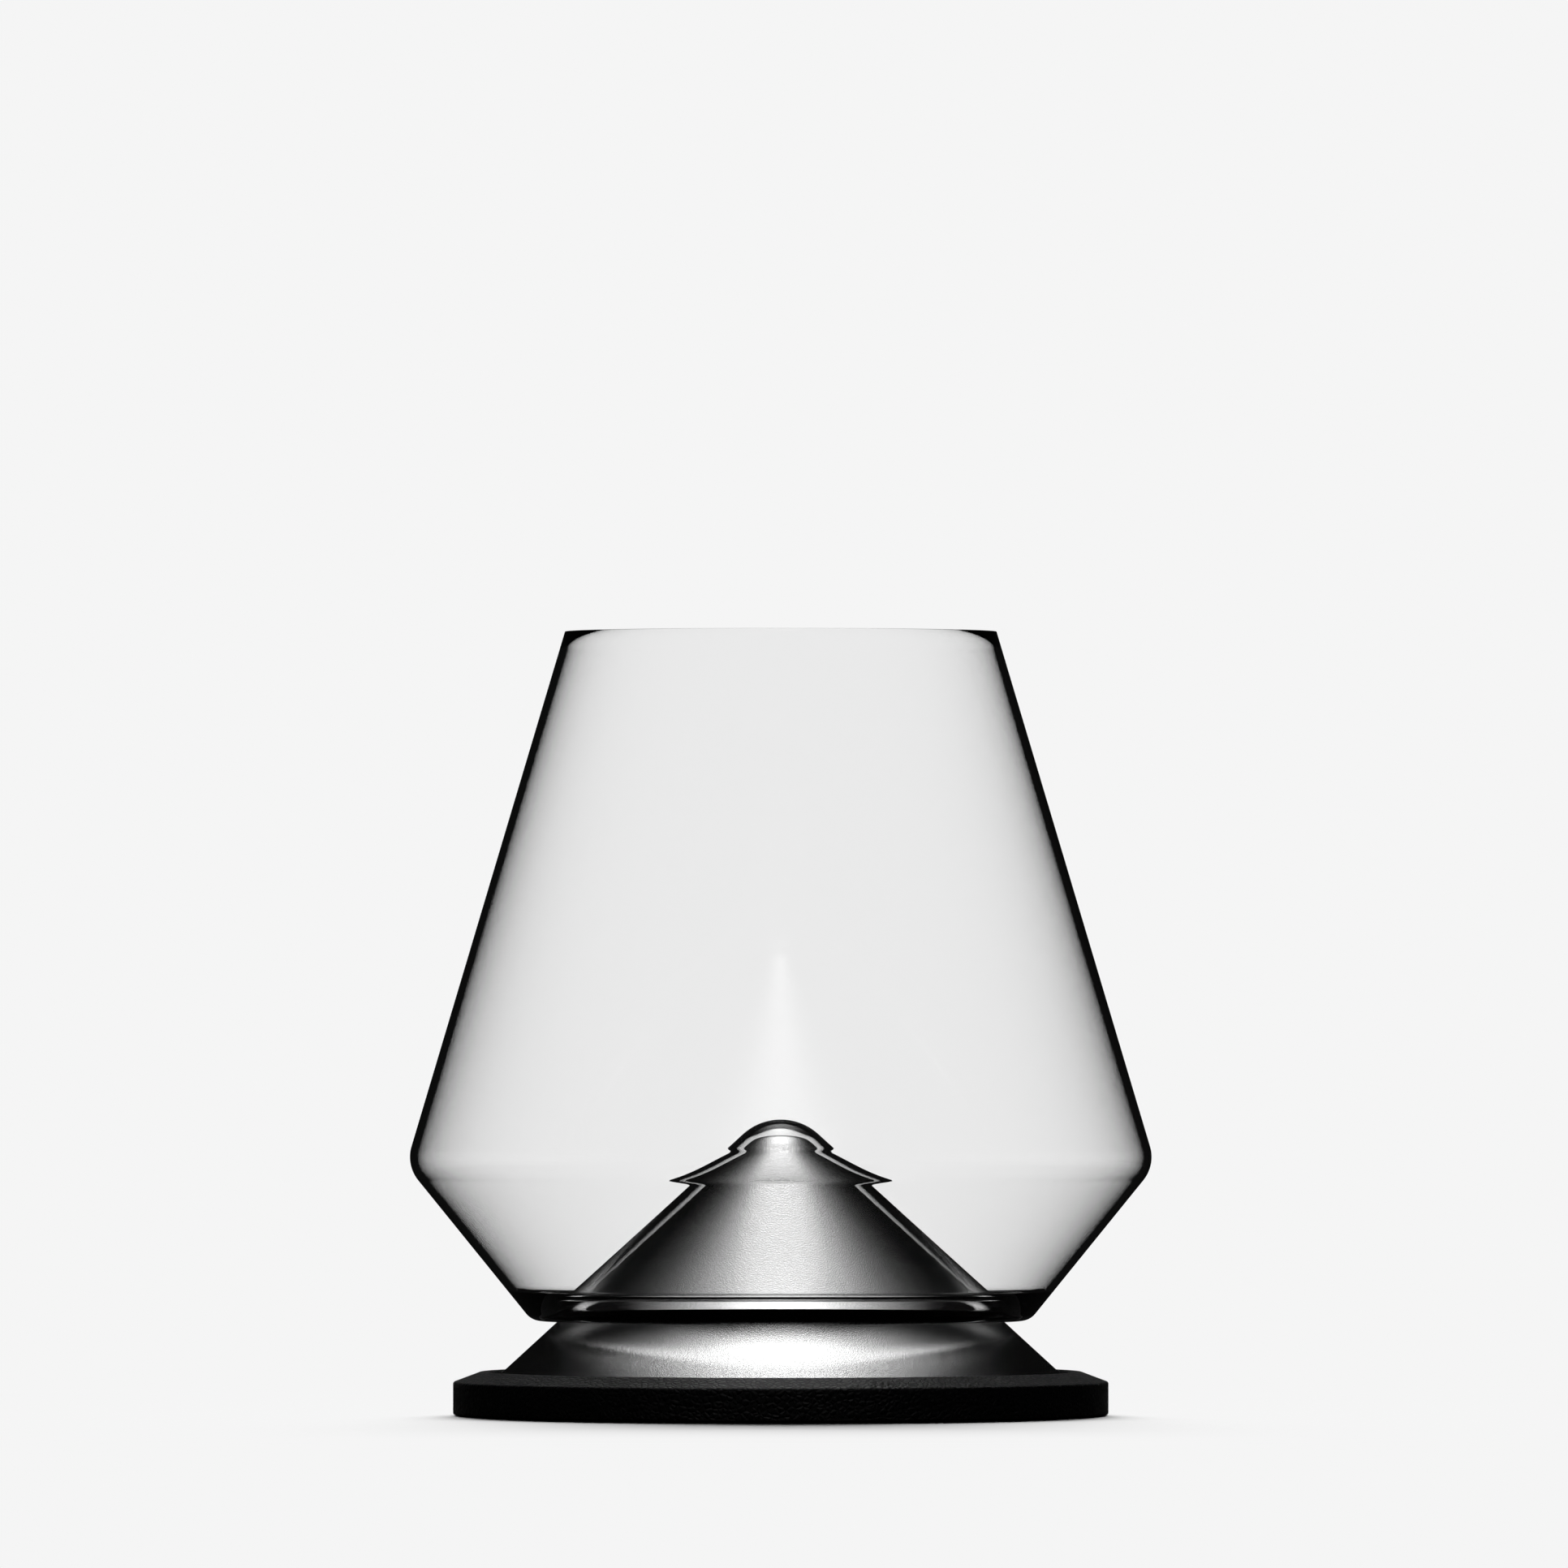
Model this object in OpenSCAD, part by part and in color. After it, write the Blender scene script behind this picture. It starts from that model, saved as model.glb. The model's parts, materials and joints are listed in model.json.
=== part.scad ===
// Tasting glass with a conical punt, seated on a chilled steel cone that stands in a leather coaster.
// Millimetres, +Z up, origin at the middle of the coaster's underside.

/* [Coaster] */
// Width of the coaster's border, from the recess to the outer edge
border_w = 5; // [4.5:0.1:15]
// Height of the coaster from the table to its top face
coaster_h = 5.75; // [5:0.05:9]
// Height of the upright edge below the bevel
edge_h = 4.4; // [3:0.05:4.8]
// Width of the bevel, measured flat
bevel_run = 3.6; // [1:0.1:4]
// Thickness of the leather
leather_t = 1; // [0.6:0.05:1.4]
// Width of the leather hem turned in under the coaster
hem_w = 7; // [3:0.5:20]
// Depth of the recess that locates the cone
recess_depth = 1.2; // [0.4:0.05:1.8]
// Rounding of the lower outer edge
edge_round = 0.35; // [0.1:0.05:0.6]

/* [Chill cone] */
// Diameter of the cone at its foot
cone_d = 76.4; // [70:0.2:78]
// Angle between the cone's side and its axis
cone_angle = 47.5; // [46:0.1:49]
// Diameter of the flat nose, before its edge is rounded
nose_d = 5.3; // [4:0.1:8]
// Rounding of the nose's edge
nose_r = 1.5; // [0.5:0.05:2]
// Thickness of the cone's steel
shell_t = 1; // [0.6:0.05:1.5]
// Thickness of the plate that closes the cone
plate_t = 1.5; // [1:0.1:2]
// Width of the ledge that the plate seats on
ledge_w = 0.7; // [0.4:0.05:0.9]
// Depth of the coolant gel above the plate
gel_depth = 22; // [12:0.5:26]

/* [Filling port] */
// Diameter of the port through the plate
port_d = 6; // [4:0.1:8]
// Diameter of the boss around the port
boss_d = 15; // [13:0.5:24]
// Height of the boss above the plate
boss_h = 4; // [3:0.1:8]
// Diameter of the plug's head
plug_head_d = 10; // [9.2:0.1:11.5]
// Thickness of the plug's head
plug_head_h = 1.4; // [1:0.1:2]
// Length of the plug's shank past the gasket
plug_shank_h = 2.6; // [2:0.1:4]
// Hexagon socket, across its corners
socket_d = 3.4; // [2:0.1:3.6]
// Depth of the hexagon socket
socket_depth = 1.8; // [1:0.1:3]
// Thickness of the gasket
gasket_t = 0.6; // [0.4:0.05:1]

/* [Glass] */
// Height of the glass from its foot to its rim
glass_h = 91.5; // [80:0.5:110]
// Height of the foot above the coaster's top face
foot_lift = 6.77; // [5:0.01:9]
// Width of the underside, from the punt's mouth to where the lower wall would meet it
foot_ring_w = 3.1; // [2:0.05:6]
// Shoulder diameter, where the lower and upper walls would meet
shoulder_d = 99.54; // [92:0.1:110]
// Height of the shoulder corner above the foot
shoulder_h = 20.65; // [18:0.05:26]
// Outside diameter of the rim
rim_d = 57.32; // [50:0.1:70]
// Thickness of the wall
wall_t = 1; // [0.8:0.05:1.3]
// Outside rounding of the shoulder
shoulder_r = 4.95; // [3:0.05:8]
// Rounding between the lower wall and the underside
heel_r = 2.5; // [1:0.05:3]
// Thickness of the glass under the trough
floor_t = 3.6; // [2.6:0.05:5]
// Rounding at both sides of the trough's floor
trough_r = 2.4; // [0.6:0.05:3]
// Thickness of the glass over the cone's nose
punt_t = 1.05; // [0.8:0.05:1.4]
// Angle between the punt's upper face and the axis
punt_angle = 47.6; // [46.8:0.1:48.4]
// Radius of the punt's rounded top
punt_r = 7.45; // [6.6:0.05:8]
// Angle by which the punt's hollow is steeper than the steel cone
hollow_taper = 0.7; // [0.2:0.1:1]
// Radius that eases the inside of the lip
lip_r = 4.5; // [2:0.1:6]
// Flat land left at the outer edge of the lip
lip_land = 0.15; // [0.1:0.05:0.3]
// Rounding of the edge where the punt opens
punt_edge_r = 4.2; // [0.4:0.1:4.4]

/* [Clearances] */
// Gap between the glass and the steel cone where the punt opens
seat_gap = 0.3; // [0.2:0.05:0.4]
// Gap between the glass and the cone's nose
nose_gap = 0.95; // [0.7:0.05:1.2]
// Gap between the cone's foot and the wall of the recess
recess_gap = 0.3; // [0.2:0.05:0.6]
// Gap around pieces that stay together
fit_gap = 0.1; // [0.05:0.01:0.15]

/* [Hidden] */
$fn = 96;

// Length by which a cutting shape runs past what it cuts
past = 1;

// Amount by which a rounding overruns its tangent, so that arc and wall cross cleanly
overrun = 0.002;

// Coaster, as half section points of [radius, height]
recess_z = coaster_h - recess_depth;
recess_r = cone_d / 2 + recess_gap;
coaster_r = recess_r + border_w;
lining_r = coaster_r - hem_w;
edge_foot = [coaster_r, 0];
edge_top = [coaster_r, edge_h];
bevel_top = [coaster_r - bevel_run, coaster_h];
core_edge = inset_corner(edge_foot, edge_top, bevel_top, leather_t);
core_bevel = inset_corner(edge_top, bevel_top, [0, coaster_h], leather_t);

// Steel cone
cone_tip = recess_z + cone_d / 2 / tan(cone_angle);
nose_z = cone_tip - nose_d / 2 / tan(cone_angle);
cavity_tip = cone_tip - shell_t / sin(cone_angle);
plate_top = recess_z + plate_t;
plate_seat_r = (cavity_tip - plate_top) * tan(cone_angle) + ledge_w;
gel_top = plate_top + gel_depth;

// Filling port, from the cone's underside upwards
plug_z = recess_z + fit_gap;
gasket_z = plug_z + plug_head_h;
port_seat_z = gasket_z + gasket_t;
plug_top = port_seat_z + plug_shank_h;
head_bore_d = plug_head_d + 2 * fit_gap;
boss_top = plate_top + boss_h;
shank_d = port_d - 2 * fit_gap;
gasket_bore_d = shank_d + 2 * fit_gap;
gasket_d = plug_head_d - 2 * fit_gap;

// Heights of the glass
foot_z = coaster_h + foot_lift;
floor_z = foot_z + floor_t;
rim_z = foot_z + glass_h;

// Punt: the hollow sits on the steel cone by its mouth and clears it above, the crown is the upper face
hollow_angle = cone_angle - hollow_taper;
hollow_mouth = [(cone_tip - foot_z) * tan(cone_angle) + seat_gap / cos(cone_angle), foot_z];
hollow_tip = foot_z + hollow_mouth[0] / tan(hollow_angle);
hollow_top = nose_z + nose_gap;
hollow_nose = (hollow_tip - hollow_top) / tip_loss(1, hollow_angle);
crown_tip = hollow_top + punt_t + tip_loss(punt_r, punt_angle);
crown_foot = [(crown_tip - floor_z) * tan(punt_angle), floor_z];

// Bowl, as half section points
heel = hollow_mouth + [foot_ring_w, 0];
shoulder = [shoulder_d / 2, foot_z + shoulder_h];
rim = [rim_d / 2, rim_z];
up_wall = unit(rim - shoulder);
wall_in = [-up_wall[1], up_wall[0]];
in_shoulder = inset_corner(heel, shoulder, rim, wall_t);
in_floor = at_height(in_shoulder, heel - shoulder, floor_z);
in_rim = at_height(in_shoulder, up_wall, rim_z + past);

// Lip: an arc tangent to the inner wall that runs out to the land at the outer edge
lip_edge = rim - [lip_land, 0];
lip_cover = lip_r - wall_t + lip_land * up_wall[1];
lip_rise = sqrt(lip_r * lip_r - lip_cover * lip_cover);
lip_centre = lip_edge - wall_in * lip_cover - up_wall * lip_rise;

function unit(v) = v / norm(v);

// Half of the angle at corner p between its neighbours a and b
function half_angle(a, p, b) = acos(unit(a - p) * unit(b - p)) / 2;

// Direction from corner p to the inside of the corner
function bisector(a, p, b) = unit(unit(a - p) + unit(b - p));

// Corner p moved inwards by t from both of its edges
function inset_corner(a, p, b, t) = p + bisector(a, p, b) * t / sin(half_angle(a, p, b));

// Point at height z on the line through p along d
function at_height(p, d, z) = p + d * (z - p[1]) / d[1];

// Height that a nose of radius r takes off a sharp cone of half angle a
function tip_loss(r, a) = r / sin(a) - r;

// What a rounding of radius r removes from corner p between neighbours a and b
module corner_waste(a, p, b, r) {
    half = half_angle(a, p, b);
    run = r / tan(half);
    inward = bisector(a, p, b);
    centre = p + inward * r / sin(half);
    difference() {
        polygon([p - inward * past, p + unit(a - p) * run, centre, p + unit(b - p) * run]);
        translate(centre) circle(r + overrun);
    }
}

// Half section of a cone cut off flat, between two heights
module cut_cone(tip, angle, low, high) {
    polygon([[0, low], [(tip - low) * tan(angle), low], [(tip - high) * tan(angle), high], [0, high]]);
}

// Half section of a cone with a rounded nose, from height low up to its nose
module blunt_cone(tip, angle, low, nose) {
    centre_z = tip - nose / sin(angle);
    touch = [nose * cos(angle), centre_z + nose * sin(angle)];
    polygon([[0, low], [(tip - low) * tan(angle), low], touch, [0, touch[1]]]);
    intersection() {
        translate([0, centre_z]) circle(nose + overrun);
        translate([0, centre_z]) square([nose + past, nose + past]);
    }
}

module bowl_outside() {
    difference() {
        polygon([[0, foot_z], heel, shoulder, rim, [0, rim_z]]);
        corner_waste([0, foot_z], heel, shoulder, heel_r);
        corner_waste(heel, shoulder, rim, shoulder_r);
    }
}

module bowl_inside() {
    crown_side = at_height(crown_foot, [-tan(punt_angle), 1], floor_z + trough_r);
    difference() {
        polygon([[0, floor_z], in_floor, in_shoulder, in_rim, [0, in_rim[1]]]);
        corner_waste([0, floor_z], in_floor, in_shoulder, trough_r);
        corner_waste(in_floor, in_shoulder, in_rim, shoulder_r - wall_t);
        corner_waste(in_floor, crown_foot, crown_side, trough_r);
        blunt_cone(crown_tip, punt_angle, floor_z - past, punt_r);
    }
}

module punt_hollow() {
    mouth_side = at_height(hollow_mouth, [-tan(hollow_angle), 1], foot_z + punt_edge_r);
    blunt_cone(hollow_tip, hollow_angle, foot_z - past, hollow_nose);
    corner_waste(heel, hollow_mouth, mouth_side, punt_edge_r);
}

module lip_waste() {
    reach = lip_centre + wall_in * (lip_r + past);
    over = up_wall * (lip_rise + past);
    difference() {
        polygon([lip_centre, reach, reach + over, lip_centre + over]);
        translate(lip_centre) circle(lip_r + overrun);
    }
}

module glass_bowl() {
    color("lightcyan")
    rotate_extrude()
    difference() {
        bowl_outside();
        bowl_inside();
        punt_hollow();
        lip_waste();
    }
}

module cone_shell() {
    nose_edge = [nose_d / 2, nose_z];
    color("silver")
    rotate_extrude()
    difference() {
        cut_cone(cone_tip, cone_angle, recess_z, nose_z);
        corner_waste([cone_d / 2, recess_z], nose_edge, [0, nose_z], nose_r);
        cut_cone(cavity_tip, cone_angle, plate_top, nose_z - shell_t);
        translate([0, recess_z - past]) square([plate_seat_r, plate_t + past]);
    }
}

module base_plate() {
    color("lightsteelblue")
    rotate_extrude()
    difference() {
        union() {
            translate([0, recess_z]) square([plate_seat_r - fit_gap, plate_t]);
            translate([0, recess_z]) square([boss_d / 2, plate_t + boss_h]);
        }
        square([port_d / 2, boss_top + past]);
        square([head_bore_d / 2, port_seat_z]);
    }
}

module cold_gel() {
    color("skyblue")
    rotate_extrude()
    difference() {
        cut_cone(cavity_tip - fit_gap / sin(cone_angle), cone_angle, plate_top, gel_top);
        square([boss_d / 2 + fit_gap, boss_top + fit_gap]);
        square([port_d / 2, plug_top + fit_gap]);
    }
}

module fill_plug() {
    color("dimgray")
    difference() {
        rotate_extrude()
        union() {
            translate([0, plug_z]) square([plug_head_d / 2, plug_head_h]);
            translate([0, plug_z]) square([shank_d / 2, plug_top - plug_z]);
        }
        translate([0, 0, plug_z - past]) cylinder(d = socket_d, h = socket_depth + past, $fn = 6);
    }
}

module plug_gasket() {
    color("orangered")
    rotate_extrude()
    translate([gasket_bore_d / 2, gasket_z])
    square([(gasket_d - gasket_bore_d) / 2, gasket_t]);
}

module coaster_outside() {
    difference() {
        polygon([[0, 0], edge_foot, edge_top, bevel_top, [0, coaster_h]]);
        corner_waste([0, 0], edge_foot, edge_top, edge_round);
        translate([0, recess_z]) square([recess_r, recess_depth + past]);
    }
}

// The core follows the coaster's outside, one leather thickness in
module core_section() {
    difference() {
        polygon([
            [0, leather_t],
            [core_edge[0], leather_t],
            core_edge,
            core_bevel,
            [0, core_bevel[1]]
        ]);
        translate([0, recess_z - leather_t]) square([recess_r + leather_t, recess_depth + past]);
    }
}

module leather_cover() {
    color("black")
    rotate_extrude()
    difference() {
        coaster_outside();
        core_section();
        translate([0, -past]) square([lining_r, leather_t + past]);
    }
}

module core_disc() {
    color("tan")
    rotate_extrude()
    core_section();
}

module base_lining() {
    color("darkslategray")
    rotate_extrude()
    square([lining_r - fit_gap, leather_t]);
}

glass_bowl();
cone_shell();
base_plate();
cold_gel();
fill_plug();
plug_gasket();
leather_cover();
core_disc();
base_lining();
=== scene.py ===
"""Dresses a tasting glass, the chilled cone that carries it and their leather coaster, and lights them."""

import json
import math

import bmesh
import bpy
from bpy.props import FloatProperty, FloatVectorProperty, PointerProperty
from mathutils import Matrix, Vector


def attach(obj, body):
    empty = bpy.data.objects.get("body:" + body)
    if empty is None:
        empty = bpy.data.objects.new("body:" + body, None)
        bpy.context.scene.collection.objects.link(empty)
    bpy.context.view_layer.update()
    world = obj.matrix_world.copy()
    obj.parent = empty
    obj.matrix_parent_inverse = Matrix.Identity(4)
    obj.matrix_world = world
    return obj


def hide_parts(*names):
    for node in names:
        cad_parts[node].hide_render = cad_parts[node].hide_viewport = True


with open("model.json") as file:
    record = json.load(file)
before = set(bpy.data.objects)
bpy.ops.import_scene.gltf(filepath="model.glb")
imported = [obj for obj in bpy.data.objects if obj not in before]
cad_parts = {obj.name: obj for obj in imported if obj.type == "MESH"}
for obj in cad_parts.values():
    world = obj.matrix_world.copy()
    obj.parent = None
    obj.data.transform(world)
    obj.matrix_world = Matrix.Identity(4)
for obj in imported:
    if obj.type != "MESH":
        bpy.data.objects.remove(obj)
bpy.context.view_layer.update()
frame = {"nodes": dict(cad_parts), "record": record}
SLOT_COLOURS = {finish["slot"]: finish["base_color"][:3] for finish in frame["record"]["materials"]}

bl_info = {
    "name": "Tasting glass on a chilled cone",
    "version": (1, 0, 0),
    "blender": (4, 5, 0),
    "location": "3D View > Sidebar > Tasting glass",
    "description": "Builds the glass, the steel cone, the coaster and their stage around the packed solids",
    "category": "Add Mesh",
}

MM = 0.001

# A full turn is made of like sectors. The small plug has fewer steps in each
SECTORS = 24
SECTOR_STEPS = 15
SMALL_STEPS = 4

# The widest step of a rounding and its fewest steps, and the angle from which an edge stays sharp
ARC_STEP = math.radians(3)
ARC_FEWEST = 3
SHARP = math.radians(30)

# A long run has a point this near to each of its ends
HOLD = 0.2 * MM
LONG_RUN = 4 * HOLD

# Points that lie closer together than this are merged
MERGE = 0.001 * MM

# Sine of the lowest direction in which the overhead lights are worked out
LOWEST_LIGHT = 0.05

# The soft light above the camera: its half width, how sharply its sides fade, and where each of its ends
# begins and is full, counted away from the camera. The lengths are shares of its height
FRONT_WIDTH = 0.5
FRONT_EDGE = 4
FRONT_NEAR = (-1.25, -1)
FRONT_FAR = (-0.4, -0.65)

# The table lies just under the coaster, and blends into the backdrop between two distances from the axis
TABLE_GAP = 0.1 * MM
TABLE_RADIUS = 400 * MM
TABLE_SIDES = 128
SHADOW_START = 50 * MM
SHADOW_END = 160 * MM

# Width of the camera's sensor in millimetres, and how far it sees in metres
SENSOR = 36
FARTHEST = 100


def length(name, description, mm):
    """A size of the object, written in millimetres and kept in metres."""
    return FloatProperty(name=name, description=description, default=mm * MM, unit="LENGTH", precision=5)


def angle(name, description, degrees):
    """An angle, written in degrees and kept in radians."""
    return FloatProperty(name=name, description=description, default=math.radians(degrees), unit="ROTATION")


def colour(name, description, value):
    """A linear colour without alpha."""
    return FloatVectorProperty(
        name=name,
        description=description,
        default=value,
        subtype="COLOR",
        min=0,
        max=1,
    )


def number(name, description, value):
    """A plain number."""
    return FloatProperty(name=name, description=description, default=value)


def share(name, description, value):
    """A number between 0 and 1."""
    return FloatProperty(name=name, description=description, default=value, min=0, max=1, subtype="FACTOR")


class CoasterSizes(bpy.types.PropertyGroup):
    """Sizes and colours of the coaster."""

    height: length("Height", "From the table to the top of the border", 5.75)
    border: length("Border", "From the recess to the outer edge", 5)
    edge: length("Edge", "Height of the upright edge below the bevel", 4.4)
    bevel: length("Bevel", "Width of the bevel, measured flat", 3.6)
    leather: length("Leather", "Thickness of the leather", 1)
    hem: length("Hem", "Width of the leather turned in below", 7)
    recess: length("Recess", "Depth of the recess for the cone", 1.2)
    fold: length("Fold", "Rounding where the leather folds over an edge", 0.35)
    crease: length("Crease", "Rounding where the leather is pressed into the recess", 0.25)
    leather_colour: colour("Leather colour", "Dye of the leather", (0.014, 0.014, 0.014))
    lining_edge: length("Lining edge", "Rounding of the suede's cut edge", 0.3)
    lining_colour: colour("Lining colour", "Dye of the suede below", SLOT_COLOURS["suede_lining"])
    core_colour: colour("Core colour", "Board inside the coaster", SLOT_COLOURS["core_board"])


class ConeSizes(bpy.types.PropertyGroup):
    """Sizes and colours of the chilled cone."""

    width: length("Width", "Diameter of the foot", 76.4)
    slope: angle("Slope", "Between the side and the axis", 47.5)
    nose: length("Nose", "Diameter of the flat nose, before its edge is rounded", 5.3)
    nose_round: length("Nose rounding", "Radius of the nose's edge", 6.2)
    steel: length("Steel", "Thickness of the spun steel", 1)
    plate: length("Plate", "Thickness of the plate that closes the cone", 1.5)
    ledge: length("Ledge", "Width of the ledge that the plate seats on", 0.7)
    gap: length("Gap", "Room between the foot and the wall of the recess", 0.3)
    edge: length("Edge", "Rounding of the steel's edges", 0.15)
    steel_colour: colour("Steel colour", "Reflection of the blasted steel", (0.70, 0.70, 0.70))
    satin: share("Satin", "Roughness of the blasted steel", 0.2)
    pits: length("Pits", "Width of the blasted pits", 0.18)
    pit_depth: length("Pit depth", "Depth of the blasted pits", 0.025)
    plate_colour: colour("Plate colour", "Reflection of the turned plate", SLOT_COLOURS["plate_steel"])
    gel_colour: colour("Gel colour", "Coolant inside the cone", SLOT_COLOURS["coolant_gel"])


class PlugSizes(bpy.types.PropertyGroup):
    """Sizes and colours of the filling port and its plug."""

    port: length("Port", "Diameter of the port through the plate", 6)
    boss: length("Boss", "Diameter of the boss around the port", 15)
    boss_height: length("Boss height", "Height of the boss above the plate", 4)
    boss_root: length("Boss root", "Rounding between the boss and the plate", 0.5)
    head: length("Head", "Diameter of the plug's head", 10)
    head_height: length("Head height", "Thickness of the plug's head", 1.4)
    gasket: length("Gasket", "Thickness of the gasket under the head", 0.6)
    shank: length("Shank", "Length of the plug past the gasket", 2.6)
    socket: length("Socket", "Hexagon socket, across its corners", 3.4)
    socket_depth: length("Socket depth", "Depth of the hexagon socket", 1.8)
    edge: length("Edge", "Rounding of the plug's and the boss's edges", 0.25)
    fit: length("Fit", "Gap around pieces that stay together", 0.1)
    plug_colour: colour("Plug colour", "Reflection of the plug", SLOT_COLOURS["plug_steel"])
    seal_colour: colour("Seal colour", "Rubber of the gasket", SLOT_COLOURS["seal_rubber"])


class GlassSizes(bpy.types.PropertyGroup):
    """Sizes of the glass, and its refraction."""

    height: length("Height", "From the foot to the rim", 91.5)
    lift: length("Lift", "From the top of the coaster to the foot", 6.77)
    ring: length("Ring", "Width of the underside around the punt's mouth", 3.1)
    shoulder_width: length("Shoulder width", "Across the corner between the walls", 99.54)
    shoulder_height: length("Shoulder height", "Of that corner above the foot", 20.65)
    rim_width: length("Rim width", "Diameter of the rim", 57.32)
    wall: length("Wall", "Thickness of the wall", 1)
    shoulder_round: length("Shoulder rounding", "Outside radius of the shoulder", 4.95)
    heel_round: length("Heel rounding", "Radius between the lower wall and the underside", 2.5)
    floor: length("Floor", "Thickness of the glass under the trough", 3.6)
    trough_round: length("Trough rounding", "Radius at both sides of the trough", 2.4)
    punt: length("Punt", "Thickness of the glass over the cone's nose", 1.05)
    punt_slope: angle("Punt slope", "Between the punt's upper face and the axis", 47.6)
    punt_round: length("Punt rounding", "Radius of the punt's top", 7.45)
    lip: length("Lip", "Radius that eases the inside of the lip", 4.5)
    lip_land: length("Lip land", "Flat left at the lip's outer edge", 0.15)
    rim_round: length("Rim rounding", "Radius of the rim's outer edge", 0.07)
    mouth_round: length("Mouth rounding", "Radius of the punt's lower edge", 4.2)
    seat: length("Seat", "Gap between the glass and the steel where the punt opens", 0.3)
    hollow_taper: angle("Hollow taper", "How much steeper the punt's hollow is than the steel cone", 0.7)
    nose_gap: length("Nose gap", "Gap between the glass and the cone's nose", 0.95)
    refraction: number("Refraction", "Index of the glass", 1.5)


class StageSettings(bpy.types.PropertyGroup):
    """The camera, the light and the pale surroundings."""

    distance: length("Distance", "From the camera to the object's axis", 2646)
    eye: length("Eye", "Height of the camera above the table", 60.4)
    aside: length("Aside", "Offset of the camera to the right of the axis", 0.43)
    tilt: angle("Tilt", "Of the camera, upwards", 0.506)
    lens: FloatProperty(name="Lens", description="Focal length of the camera", default=457.5, unit="CAMERA")
    light: number("Light", "Brightness of the overhead panel at its middle", 2.4)
    panel_width: number("Panel width", "Half width of the overhead panel, as a share of its height", 0.33)
    panel_edge: number("Panel edge", "How sharply the panel's sides fade, 2 being soft", 2)
    panel_back: number("Panel back", "How far the panel reaches behind, as a share of its height", 1.1)
    panel_front: number("Panel front", "How far the panel reaches forward, as a share of its height", 0.08)
    panel_full: number("Panel full", "Where the panel is full, as a share of its height behind", 0.14)
    panel_soft: number("Panel soft", "Length over which its back end fades, as a share of its height", 0.3)
    front: number("Front", "Brightness of the soft light above the camera", 0.72)
    backdrop: colour("Backdrop", "Pale colour behind the object", (0.913, 0.913, 0.913))
    glow: share("Glow", "How much brighter the backdrop is where glass shows it", 0.06)
    table: colour("Table", "Pale colour of the table top", (0.85, 0.85, 0.85))
    room: colour("Room", "Level of the dark room that glass and steel mirror", (0.004, 0.004, 0.004))
    fill: number("Fill", "Brightness of the soft light from behind on the table and the leather", 14.6)
    fill_rise: angle("Fill rise", "Of the middle of that light above the table", 12)
    fill_spread: angle("Fill spread", "How wide that light is", 52)


class Socket:
    """A node's output that Python's operators can work with."""

    def __init__(self, graph, socket):
        self.graph = graph
        self.socket = socket

    def maths(self, operation, *values):
        """A Math node's result for some values."""
        return self.graph.add("ShaderNodeMath", {"operation": operation}, dict(enumerate(values)))

    def __add__(self, other):
        return self.maths("ADD", self, other)

    def __radd__(self, other):
        return self.maths("ADD", other, self)

    def __sub__(self, other):
        return self.maths("SUBTRACT", self, other)

    def __rsub__(self, other):
        return self.maths("SUBTRACT", other, self)

    def __mul__(self, other):
        return self.maths("MULTIPLY", self, other)

    def __rmul__(self, other):
        return self.maths("MULTIPLY", other, self)

    def __truediv__(self, other):
        return self.maths("DIVIDE", self, other)

    def __rtruediv__(self, other):
        return self.maths("DIVIDE", other, self)

    def __lt__(self, other):
        return self.maths("LESS_THAN", self, other)

    def __gt__(self, other):
        return self.maths("GREATER_THAN", self, other)


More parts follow.
